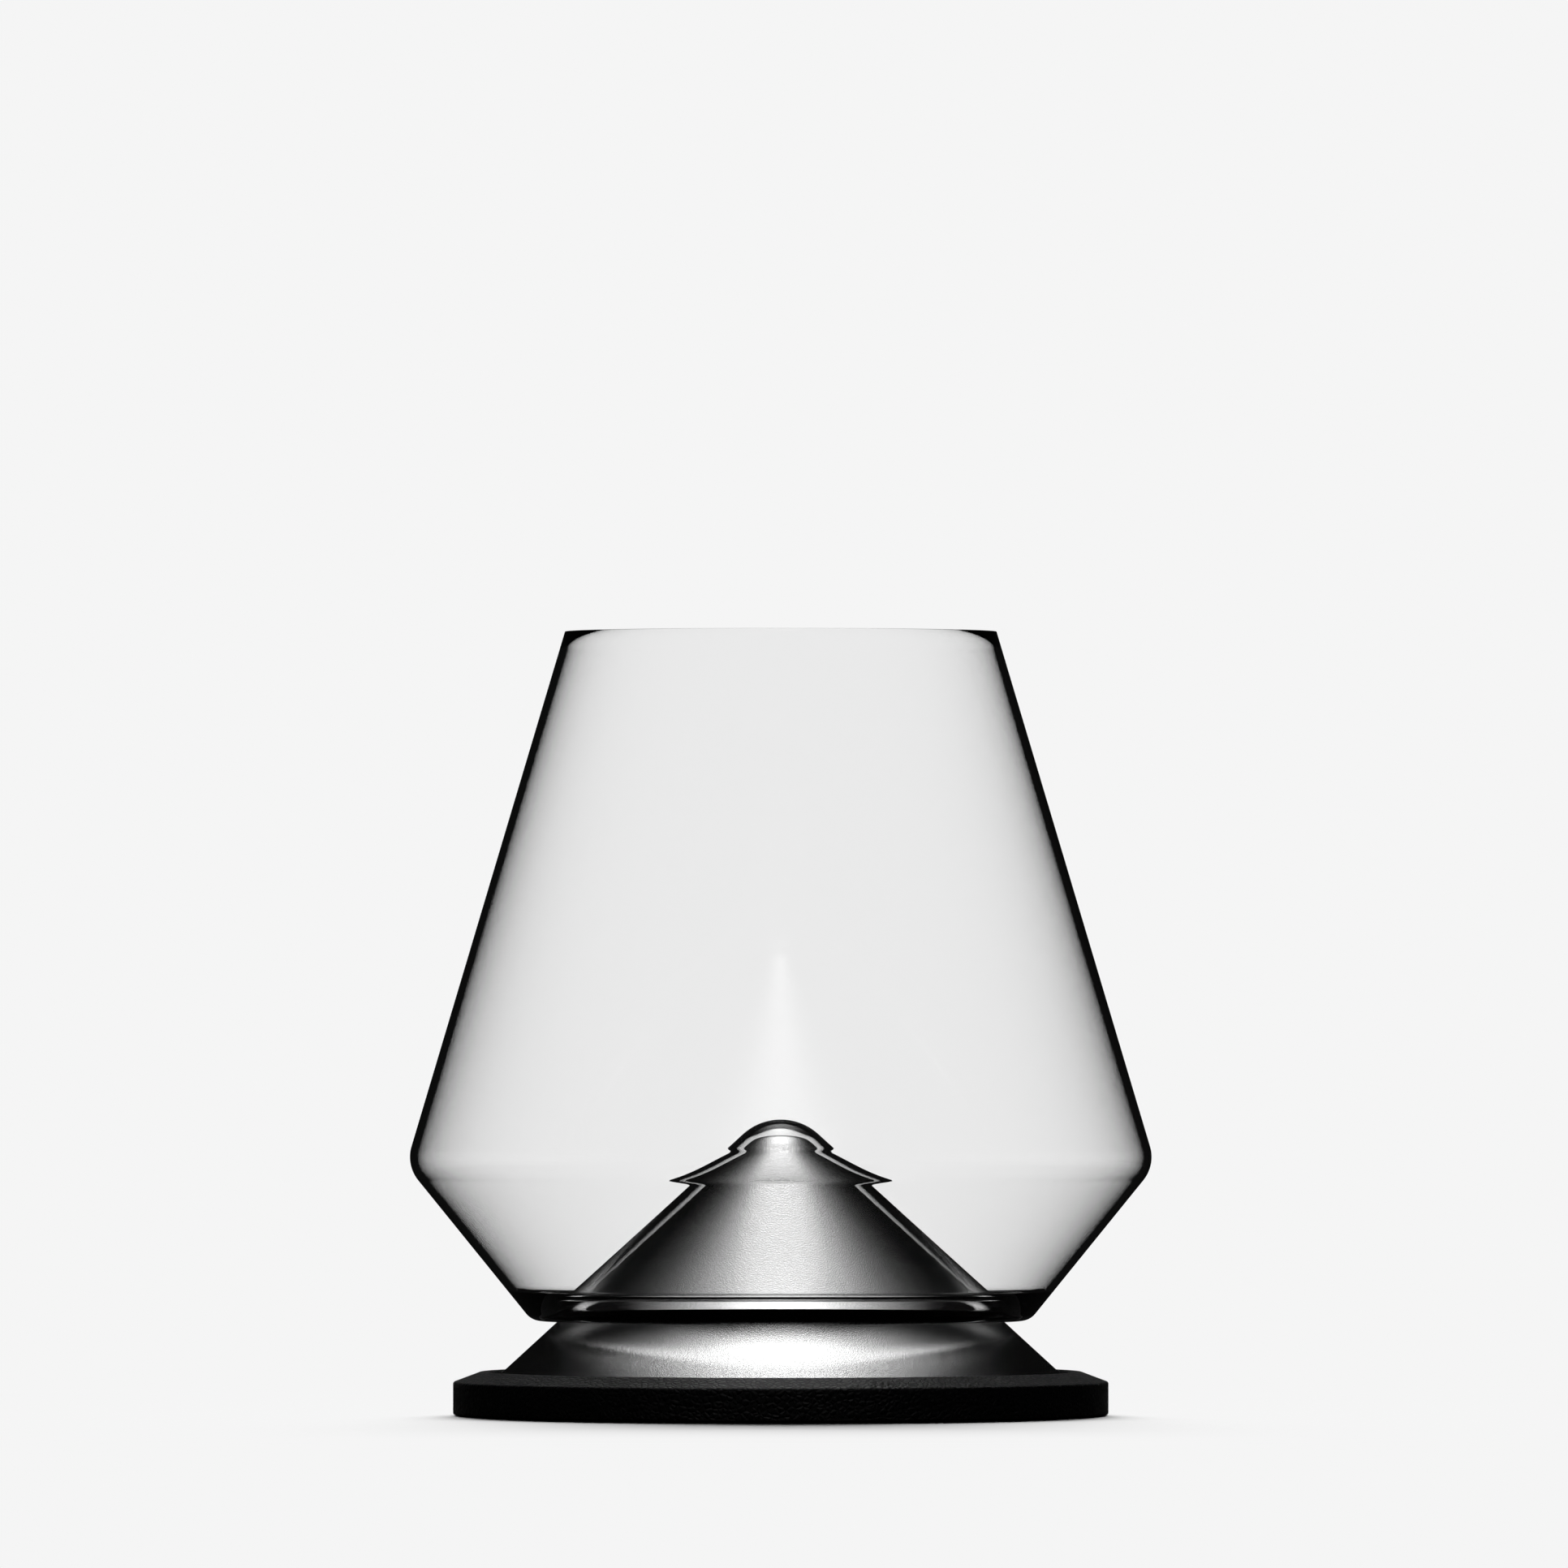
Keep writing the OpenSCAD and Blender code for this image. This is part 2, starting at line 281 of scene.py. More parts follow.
class Graph:
    """The nodes of one material or of the world."""

    def __init__(self, owner):
        owner.use_nodes = True
        self.tree = owner.node_tree
        self.tree.nodes.clear()

    def add(self, kind, settings=None, inputs=None, output=0):
        """A node of that kind, with its settings set first and then the values or links of its sockets."""
        node = self.tree.nodes.new(kind)
        for name, value in (settings or {}).items():
            if name == "stops":
                self.set_stops(node.color_ramp, value)
            else:
                setattr(node, name, value)
        for key, value in (inputs or {}).items():
            if isinstance(value, Socket):
                self.tree.links.new(value.socket, node.inputs[key])
            else:
                node.inputs[key].default_value = value
        return Socket(self, node.outputs[output]) if node.outputs else node

    @staticmethod
    def set_stops(ramp, stops):
        """Gives a ramp its grey stops of place and level."""
        while len(ramp.elements) < len(stops):
            ramp.elements.new(1)
        for element, (place, level) in zip(ramp.elements, stops):
            element.position = place
            element.color = (level, level, level, 1)

    def place(self):
        """Object coordinates, in metres."""
        return self.add("ShaderNodeTexCoord", output="Object")

    def ray(self, name):
        """What is known of a ray, such as whether it comes from the camera."""
        return self.add("ShaderNodeLightPath", output=name)

    def noise(self, size, detail=2, roughness=0.5):
        """Cloudy noise whose features are about that size."""
        inputs = {"Vector": self.place(), "Scale": 1 / size, "Detail": detail, "Roughness": roughness}
        return self.add("ShaderNodeTexNoise", None, inputs)

    def cells(self, size, where):
        """How far a place is from the edges of cells of that size."""
        settings = {"feature": "DISTANCE_TO_EDGE"}
        return self.add("ShaderNodeTexVoronoi", settings, {"Vector": where, "Scale": 1 / size})

    def rings(self, pitch):
        """Uneven rings about the axis, about that far apart."""
        flat = self.add("ShaderNodeVectorMath", {"operation": "MULTIPLY"}, {0: self.place(), 1: (1, 1, 0)})
        radius = self.add("ShaderNodeVectorMath", {"operation": "LENGTH"}, {0: flat}, "Value")
        return self.add("ShaderNodeTexNoise", {"noise_dimensions": "1D"}, {"W": radius, "Scale": 1 / pitch})

    def ramp(self, value, *stops):
        """The value passed through grey stops of place and level."""
        return self.add("ShaderNodeValToRGB", {"stops": stops}, {"Fac": value})

    def fade(self, value, start, end):
        """A smooth step from 0 at one value to 1 at another."""
        settings = {"interpolation_type": "SMOOTHERSTEP"}
        inputs = {"Value": value, "From Min": start, "From Max": end}
        return self.add("ShaderNodeMapRange", settings, inputs)

    def tones(self, amount, middle, spread):
        """A colour from darker at an amount of 0 to lighter at 1, by that share to either side."""
        low = shade(middle, 1 - spread)
        high = shade(middle, 1 + spread)
        inputs = {"Factor": amount, "A": rgba(low), "B": rgba(high)}
        return self.add("ShaderNodeMix", {"data_type": "RGBA"}, inputs, "Result")

    def bump(self, height, depth):
        """A surface normal from a height of 0 to 1 that stands for that depth."""
        return self.add("ShaderNodeBump", None, {"Height": height, "Distance": depth})

    def principled(self, **inputs):
        """The usual shader, its sockets named with underscores for spaces."""
        named = {name.replace("_", " "): value for name, value in inputs.items()}
        return self.add("ShaderNodeBsdfPrincipled", None, named)

    def blend(self, amount, first, second):
        """Two shaders mixed by an amount."""
        return self.add("ShaderNodeMixShader", None, {0: amount, 1: first, 2: second})

    def surface(self, shader):
        """Ends a material with its shader."""
        self.add("ShaderNodeOutputMaterial", None, {"Surface": shader})


def rgba(value):
    """A colour with its alpha."""
    return (*value, 1)


def shade(value, level):
    """A colour made lighter or darker."""
    return tuple(min(1, part * level) for part in value)


def new_material(name):
    """An empty material and its nodes."""
    material = bpy.data.materials.new(name)
    return material, Graph(material)


def clear_glass(glass):
    """Clear blown glass with a trace of waviness in its roughness."""
    material, nodes = new_material("clear_glass")
    waves = nodes.noise(9 * MM, detail=3)
    shader = nodes.principled(
        Base_Color=(1, 1, 1, 1),
        Transmission_Weight=1,
        IOR=glass.refraction,
        Roughness=0.004 * waves,
    )
    nodes.surface(shader)
    return material


def satin_steel(cone):
    """Bead-blasted stainless steel: an even satin with fine pits and soft clouds."""
    material, nodes = new_material("satin_steel")
    pits = nodes.noise(cone.pits, detail=1, roughness=0.6)
    clouds = nodes.noise(6 * MM, detail=3)
    specks = nodes.ramp(pits, (0.3, 0), (0.7, 1))
    shader = nodes.principled(
        Base_Color=nodes.tones(0.85 * specks + 0.15 * clouds, cone.steel_colour, spread=0.12),
        Metallic=1,
        Roughness=cone.satin + 0.06 * (clouds - 0.5),
        Normal=nodes.bump(pits, cone.pit_depth),
    )
    nodes.surface(shader)
    return material


def black_leather(coaster):
    """Black leather with a fine pebble grain and creases between the pebbles."""
    material, nodes = new_material("black_leather")
    wander = nodes.noise(2.5 * MM)
    drift = nodes.add("ShaderNodeVectorMath", {"operation": "SCALE"}, {0: wander, "Scale": 0.5 * MM})
    where = nodes.add("ShaderNodeVectorMath", {"operation": "ADD"}, {0: nodes.place(), 1: drift})
    pebbles = nodes.ramp(nodes.cells(0.75 * MM, where), (0.02, 0), (0.28, 1))
    pores = nodes.noise(0.16 * MM)
    height = 0.8 * pebbles + 0.2 * pores
    shader = nodes.principled(
        Base_Color=nodes.tones(pebbles, coaster.leather_colour, spread=0.4),
        Roughness=0.56 - 0.12 * pebbles,
        Specular_IOR_Level=0.85,
        Normal=nodes.bump(height, depth=0.09 * MM),
    )
    nodes.surface(shader)
    return material


def turned_steel(name, reflection, pitch):
    """Steel turned on a lathe, with fine rings about the axis."""
    material, nodes = new_material(name)
    rings = nodes.rings(pitch)
    clouds = nodes.noise(7 * MM, detail=3)
    shader = nodes.principled(
        Base_Color=nodes.tones(0.6 * rings + 0.4 * clouds, reflection, spread=0.15),
        Metallic=1,
        Roughness=0.26 + 0.16 * clouds,
        Normal=nodes.bump(rings, depth=0.03 * MM),
    )
    nodes.surface(shader)
    return material


def suede_lining(coaster):
    """Black suede with a short nap that lies in soft patches."""
    material, nodes = new_material("suede_lining")
    nap = nodes.noise(0.18 * MM, detail=3, roughness=0.7)
    patches = nodes.noise(9 * MM)
    shader = nodes.principled(
        Base_Color=nodes.tones(0.5 * nap + 0.5 * patches, coaster.lining_colour, spread=0.5),
        Roughness=0.8 + 0.2 * nap,
        Sheen_Weight=0.25,
        Normal=nodes.bump(nap, depth=0.12 * MM),
    )
    nodes.surface(shader)
    return material


def core_board(coaster):
    """Pressed fibre board."""
    material, nodes = new_material("core_board")
    fibres = nodes.noise(1.2 * MM, detail=5, roughness=0.7)
    shader = nodes.principled(
        Base_Color=nodes.tones(fibres, coaster.core_colour, spread=0.3),
        Roughness=0.85,
        Normal=nodes.bump(fibres, depth=0.05 * MM),
    )
    nodes.surface(shader)
    return material


def coolant_gel(cone):
    """Blue gel, a little cloudy."""
    material, nodes = new_material("coolant_gel")
    clouds = nodes.noise(5 * MM, detail=4)
    shader = nodes.principled(
        Base_Color=nodes.tones(clouds, cone.gel_colour, spread=0.2),
        Roughness=0.1 + 0.1 * clouds,
        Transmission_Weight=0.6,
        IOR=1.34,
    )
    nodes.surface(shader)
    return material


def seal_rubber(plug):
    """Moulded rubber with a matt skin."""
    material, nodes = new_material("seal_rubber")
    skin = nodes.noise(0.3 * MM, detail=3)
    shader = nodes.principled(
        Base_Color=nodes.tones(skin, plug.seal_colour, spread=0.2),
        Roughness=0.6 + 0.2 * skin,
        Normal=nodes.bump(skin, depth=0.02 * MM),
    )
    nodes.surface(shader)
    return material


class Outline:
    """A half section drawn from point to point, as radius and height, and then turned about the axis."""

    def __init__(self, start):
        self.mesh = bmesh.new()
        self.tip = self.mesh.verts.new((start.x, 0, start.y))

    @property
    def place(self):
        """The end of what is drawn so far."""
        return Vector((self.tip.co.x, self.tip.co.z))

    def step(self, end):
        """One edge, straight to a point."""
        self.tip = bmesh.ops.extrude_vert_indiv(self.mesh, verts=[self.tip])["verts"][0]
        self.tip.co = (end.x, 0, end.y)

    def line(self, end):
        """A straight run, with a point close to each end so that roundings don't bend its shading."""
        run = end - self.place
        if run.length < MERGE:
            return
        if run.length > LONG_RUN:
            hold = run.normalized() * HOLD
            self.step(self.place + hold)
            self.step(end - hold)
        self.step(end)

    def arc(self, centre, turn):
        """An arc about a centre, clockwise where the turn is positive."""
        steps = max(ARC_FEWEST, math.ceil(abs(turn) / ARC_STEP))
        spun = bmesh.ops.spin(
            self.mesh,
            geom=[self.tip],
            cent=(centre.x, 0, centre.y),
            axis=(0, 1, 0),
            angle=turn,
            steps=steps,
            use_duplicate=False,
        )
        self.tip = next(part for part in spun["geom_last"] if isinstance(part, bmesh.types.BMVert))

    def corner(self, point, after, radius):
        """A run to a rounded corner, ending where the rounding leaves towards the next point."""
        back = (self.place - point).normalized()
        ahead = (after - point).normalized()
        half = back.angle(ahead) / 2
        reach = radius / math.tan(half)
        centre = point + (back + ahead).normalized() * radius / math.sin(half)
        self.line(point + back * reach)
        clockwise = back.x * ahead.y - back.y * ahead.x
        self.arc(centre, math.copysign(math.pi - 2 * half, clockwise))

    def turned(self, steps=SECTOR_STEPS):
        """The mesh made by a full turn about the axis: one sector, and then its copies."""
        mesh = self.mesh
        sector = 2 * math.pi / SECTORS
        about = {"cent": (0, 0, 0), "axis": (0, 0, 1)}
        line = mesh.verts[:] + mesh.edges[:]
        bmesh.ops.spin(mesh, geom=line, angle=sector, steps=steps, use_duplicate=False, **about)
        bmesh.ops.remove_doubles(mesh, verts=mesh.verts[:], dist=MERGE)
        wedge = mesh.verts[:] + mesh.edges[:] + mesh.faces[:]
        rest = 2 * math.pi - sector
        bmesh.ops.spin(mesh, geom=wedge, angle=rest, steps=SECTORS - 1, use_duplicate=True, **about)
        bmesh.ops.remove_doubles(mesh, verts=mesh.verts[:], dist=MERGE)
        return mesh


def cut_socket(mesh, across, depth):
    """Makes the round hole in a mesh a hexagon and sinks it."""
    rim = [edge for edge in mesh.edges if edge.is_boundary]
    sixth = math.radians(60)
    for vertex in {vertex for edge in rim for vertex in edge.verts}:
        turn = math.atan2(vertex.co.y, vertex.co.x) % sixth - sixth / 2
        reach = across / 2 * math.cos(sixth / 2) / math.cos(turn)
        vertex.co.xy = vertex.co.xy.normalized() * reach
    sunk = bmesh.ops.extrude_edge_only(mesh, edges=rim)["geom"]
    corners = [part for part in sunk if isinstance(part, bmesh.types.BMVert)]
    bmesh.ops.translate(mesh, verts=corners, vec=(0, 0, depth))
    bmesh.ops.edgeloop_fill(mesh, edges=[edge for edge in mesh.edges if edge.is_boundary])


def made(mesh, name):
    """The object of a closed mesh, with smooth faces and sharp corners."""
    bmesh.ops.recalc_face_normals(mesh, faces=mesh.faces[:])
    for face in mesh.faces:
        face.smooth = True
    data = bpy.data.meshes.new(name)
    mesh.to_mesh(data)
    mesh.free()
    data.set_sharp_from_angle(angle=SHARP)
    piece = bpy.data.objects.new(name, data)
    bpy.context.scene.collection.objects.link(piece)
    return piece


def on_axis(height):
    """The point of the axis at a height."""
    return Vector((0, height))


def at_height(point, direction, height):
    """Where a line through a point reaches a height."""
    return point + direction * (height - point.y) / direction.y


def inset_corner(before, point, after, depth):
    """A corner moved inwards from both of its edges."""
    back = (before - point).normalized()
    ahead = (after - point).normalized()
    return point + (back + ahead).normalized() * depth / math.sin(back.angle(ahead) / 2)


class Cone:
    """A cone about the axis, given by its sharp tip and its slope."""

    def __init__(self, tip, slope):
        self.tip = tip
        self.slope = slope

    def side(self, height):
        """The point of the cone at a height."""
        return Vector(((self.tip - height) * math.tan(self.slope), height))


class Dome(Cone):
    """A cone whose tip is rounded."""

    def __init__(self, tip, slope, radius):
        super().__init__(tip, slope)
        self.centre = on_axis(tip - radius / math.sin(slope))
        self.top = self.centre + on_axis(radius)
        self.turn = math.pi / 2 - slope

    @classmethod
    def under(cls, top, slope, radius):
        """A rounded cone that reaches a height."""
        return cls(top + radius / math.sin(slope) - radius, slope, radius)

    @classmethod
    def between(cls, tip, slope, top):
        """A cone with its sharp tip at one height, rounded so that it reaches another."""
        return cls(tip, slope, (tip - top) / (1 / math.sin(slope) - 1))

    @property
    def touch(self):
        """Where the rounding meets the straight side."""
        return self.centre + Matrix.Rotation(-self.turn, 2) @ (self.top - self.centre)


class Layout:
    """Heights and outlines that several pieces share, worked out from the sizes."""

    def __init__(self, scene):
        coaster = scene.coaster_sizes
        cone = scene.cone_sizes
        plug = scene.plug_sizes
        glass = scene.glass_sizes
        self.seat = coaster.height - coaster.recess
        self.recess = cone.width / 2 + cone.gap
        self.rim = self.recess + coaster.border
        slope = cone.slope
        tip = self.seat + cone.width / 2 / math.tan(slope)
        self.cone = Cone(tip, slope)
        self.nose_z = tip - cone.nose / 2 / math.tan(slope)
        self.cavity = Cone(tip - cone.steel / math.sin(slope), slope)
        self.plate_top = self.seat + cone.plate
        self.ledge = self.cavity.side(self.plate_top)
        self.plate_seat = self.ledge + Vector((cone.ledge, 0))
        self.plug_z = self.seat + plug.fit
        self.gasket_z = self.plug_z + plug.head_height
        self.port_z = self.gasket_z + plug.gasket
        self.foot_z = coaster.height + glass.lift
        self.mouth = self.cone.side(self.foot_z) + Vector((glass.seat / math.cos(slope), 0))
        steep = slope - glass.hollow_taper
        hollow_tip = self.foot_z + self.mouth.x / math.tan(steep)
        self.hollow = Dome.between(hollow_tip, steep, self.nose_z + glass.nose_gap)
        self.crown = Dome.under(self.hollow.top.y + glass.punt, glass.punt_slope, glass.punt_round)


def finished(piece, body, node, material):
    """Gives a piece its material and its place on the frame."""
    piece.data.materials.append(material)
    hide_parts(node)
    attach(piece, body)


class GLASS_OT_bowl(bpy.types.Operator):
    """Turn the glass: bowl, shoulder, foot ring and conical punt"""

    bl_idname = "tasting_glass.bowl"
    bl_label = "Glass bowl"

    def execute(self, context):
        sizes = context.scene.glass_sizes
        layout = Layout(context.scene)
        crown = layout.crown
        hollow = layout.hollow
        mouth = layout.mouth
        foot_z = layout.foot_z
        floor_z = foot_z + sizes.floor
        heel = mouth + Vector((sizes.ring, 0))
        shoulder = Vector((sizes.shoulder_width / 2, foot_z + sizes.shoulder_height))
        rim = Vector((sizes.rim_width / 2, foot_z + sizes.height))
        up_wall = (rim - shoulder).normalized()
        wall_in = Vector((-up_wall.y, up_wall.x))
        in_shoulder = inset_corner(heel, shoulder, rim, sizes.wall)
        in_floor = at_height(in_shoulder, heel - shoulder, floor_z)
        land = rim - Vector((sizes.lip_land, 0))
        cover = sizes.lip - sizes.wall + sizes.lip_land * up_wall.y
        rise = math.sqrt(sizes.lip**2 - cover**2)
        lip_centre = land - wall_in * cover - up_wall * rise
        lip_start = lip_centre + wall_in * sizes.lip

        outline = Outline(crown.top)
        outline.arc(crown.centre, crown.turn)
        outline.corner(crown.side(floor_z), in_floor, sizes.trough_round)
        outline.corner(in_floor, in_shoulder, sizes.trough_round)
        outline.corner(in_shoulder, lip_start, sizes.shoulder_round - sizes.wall)
        outline.line(lip_start)
        outline.arc(lip_centre, (lip_start - lip_centre).angle(land - lip_centre))
        outline.corner(rim, shoulder, sizes.rim_round)
        outline.corner(shoulder, heel, sizes.shoulder_round)
        outline.corner(heel, mouth, sizes.heel_round)
        outline.corner(mouth, hollow.touch, sizes.mouth_round)
        outline.line(hollow.touch)
        outline.arc(hollow.centre, -hollow.turn)
        bowl = made(outline.turned(), "bowl")
        # Matt surfaces are lit as if the glass weren't there
        bowl.visible_diffuse = False
        bowl.visible_shadow = False
        finished(bowl, "glass", "glass_bowl", clear_glass(sizes))
        return {"FINISHED"}


class GLASS_OT_cone(bpy.types.Operator):
    """Spin the steel cone with its rounded nose and open underside"""

    bl_idname = "tasting_glass.cone"
    bl_label = "Steel cone"

    def execute(self, context):
        sizes = context.scene.cone_sizes
        layout = Layout(context.scene)
        foot = layout.cone.side(layout.seat)
        plate_seat = layout.plate_seat
        seat_foot = Vector((plate_seat.x, layout.seat))
        roof_z = layout.nose_z - sizes.steel

        outline = Outline(on_axis(layout.nose_z))
        outline.corner(layout.cone.side(layout.nose_z), foot, sizes.nose_round)
        outline.corner(foot, seat_foot, sizes.edge)
        outline.corner(seat_foot, plate_seat, sizes.edge)
        for point in (plate_seat, layout.ledge, layout.cavity.side(roof_z), on_axis(roof_z)):
            outline.line(point)
        cone = made(outline.turned(), "cone")
        finished(cone, "chill_base", "cone_shell", satin_steel(sizes))
        return {"FINISHED"}


class GLASS_OT_plate(bpy.types.Operator):
    """Turn the plate that closes the cone, with the boss of its filling port"""

    bl_idname = "tasting_glass.plate"
    bl_label = "Base plate"

    def execute(self, context):
        cone = context.scene.cone_sizes
        sizes = context.scene.plug_sizes
        layout = Layout(context.scene)
        boss_z = layout.plate_top + sizes.boss_height
        head_bore = sizes.head / 2 + sizes.fit
        plate_edge = layout.plate_seat.x - sizes.fit
        port_foot = Vector((sizes.port / 2, layout.port_z))
        port_top = Vector((sizes.port / 2, boss_z))
        boss_top = Vector((sizes.boss / 2, boss_z))
        boss_foot = Vector((sizes.boss / 2, layout.plate_top))
        edge_top = Vector((plate_edge, layout.plate_top))
        edge_foot = Vector((plate_edge, layout.seat))
        bore_foot = Vector((head_bore, layout.seat))
        bore_top = Vector((head_bore, layout.port_z))

        outline = Outline(port_foot)
        outline.corner(port_top, boss_top, sizes.edge)
        outline.corner(boss_top, boss_foot, sizes.edge)
        outline.corner(boss_foot, edge_top, sizes.boss_root)
        outline.corner(edge_top, edge_foot, cone.edge)
        outline.corner(edge_foot, bore_foot, cone.edge)
        outline.corner(bore_foot, bore_top, sizes.edge)
        outline.line(bore_top)
        outline.line(port_foot)
        plate = made(outline.turned(), "plate")
        steel = turned_steel("plate_steel", cone.plate_colour, pitch=0.45 * MM)
        finished(plate, "chill_base", "base_plate", steel)
        return {"FINISHED"}


class GLASS_OT_plug(bpy.types.Operator):
    """Turn the plug of the filling port and sink its hexagon socket"""

    bl_idname = "tasting_glass.plug"
    bl_label = "Fill plug"

    def execute(self, context):
        sizes = context.scene.plug_sizes
        layout = Layout(context.scene)
        shank = sizes.port / 2 - sizes.fit
        top_z = layout.port_z + sizes.shank
        head_foot = Vector((sizes.head / 2, layout.plug_z))
        head_top = Vector((sizes.head / 2, layout.gasket_z))
        shank_foot = Vector((shank, layout.gasket_z))
        shank_top = Vector((shank, top_z))

        outline = Outline(Vector((sizes.socket / 2, layout.plug_z)))
        outline.corner(head_foot, head_top, sizes.edge)
        outline.corner(head_top, shank_foot, sizes.edge)
        outline.line(shank_foot)
        outline.corner(shank_top, on_axis(top_z), sizes.edge)
        outline.line(on_axis(top_z))
        mesh = outline.turned(SMALL_STEPS)
        cut_socket(mesh, sizes.socket, sizes.socket_depth)
        plug = made(mesh, "plug")
        steel = turned_steel("plug_steel", sizes.plug_colour, pitch=0.2 * MM)
        finished(plug, "chill_base", "fill_plug", steel)
        return {"FINISHED"}


class GLASS_OT_coaster(bpy.types.Operator):
    """Wrap the coaster's leather over its border, bevel and edge and under to its hem"""

    bl_idname = "tasting_glass.coaster"
    bl_label = "Leather cover"

    def execute(self, context):
        sizes = context.scene.coaster_sizes
        layout = Layout(context.scene)
        skin = sizes.leather
        fold = sizes.fold
        crease = sizes.crease
        recess_foot = Vector((layout.recess, layout.seat))
        recess_top = Vector((layout.recess, sizes.height))
        bevel_top = Vector((layout.rim - sizes.bevel, sizes.height))
        edge_top = Vector((layout.rim, sizes.edge))
        edge_foot = Vector((layout.rim, 0))
        hem_foot = Vector((layout.rim - sizes.hem, 0))
        hem_top = hem_foot + on_axis(skin)
        core_edge = inset_corner(edge_foot, edge_top, bevel_top, skin)
        core_bevel = inset_corner(edge_top, bevel_top, recess_top, skin)
        core_foot = Vector((core_edge.x, skin))
        core_top = recess_top + Vector((skin, -skin))
        core_recess = recess_foot + Vector((skin, -skin))

        outline = Outline(on_axis(layout.seat))
        outline.corner(recess_foot, recess_top, crease)
        outline.corner(recess_top, bevel_top, fold)
        outline.corner(bevel_top, edge_top, fold)
        outline.corner(edge_top, edge_foot, fold)
        outline.corner(edge_foot, hem_foot, fold)
        outline.corner(hem_foot, hem_top, crease)
        for point in (hem_top, core_foot, core_edge, core_bevel, core_top, core_recess):
            outline.line(point)
        outline.line(on_axis(layout.seat - skin))
        leather = made(outline.turned(), "leather")
        finished(leather, "coaster", "leather_cover", black_leather(sizes))
        return {"FINISHED"}


class GLASS_OT_lining(bpy.types.Operator):
    """Cut the suede disc that covers the coaster's underside inside the hem"""

    bl_idname = "tasting_glass.lining"
    bl_label = "Base lining"

    def execute(self, context):
        sizes = context.scene.coaster_sizes
        layout = Layout(context.scene)
        edge = layout.rim - sizes.hem - context.scene.plug_sizes.fit
        edge_foot = Vector((edge, 0))
        edge_top = Vector((edge, sizes.leather))

        outline = Outline(on_axis(0))
        outline.corner(edge_foot, edge_top, sizes.lining_edge)
        outline.corner(edge_top, on_axis(sizes.leather), sizes.lining_edge)
        outline.line(on_axis(sizes.leather))
        lining = made(outline.turned(), "lining")
        finished(lining, "coaster", "base_lining", suede_lining(sizes))
        return {"FINISHED"}


class GLASS_OT_inside(bpy.types.Operator):
    """Give the gel, its gasket and the coaster's board their finishes"""

    bl_idname = "tasting_glass.inside"
    bl_label = "Hidden pieces"

    def execute(self, context):
        scene = context.scene
        finishes = {
            "cold_gel": coolant_gel(scene.cone_sizes),
            "plug_gasket": seal_rubber(scene.plug_sizes),
            "core_disc": core_board(scene.coaster_sizes),
        }
        for node, material in finishes.items():
            frame["nodes"][node].material_slots[0].material = material
        return {"FINISHED"}


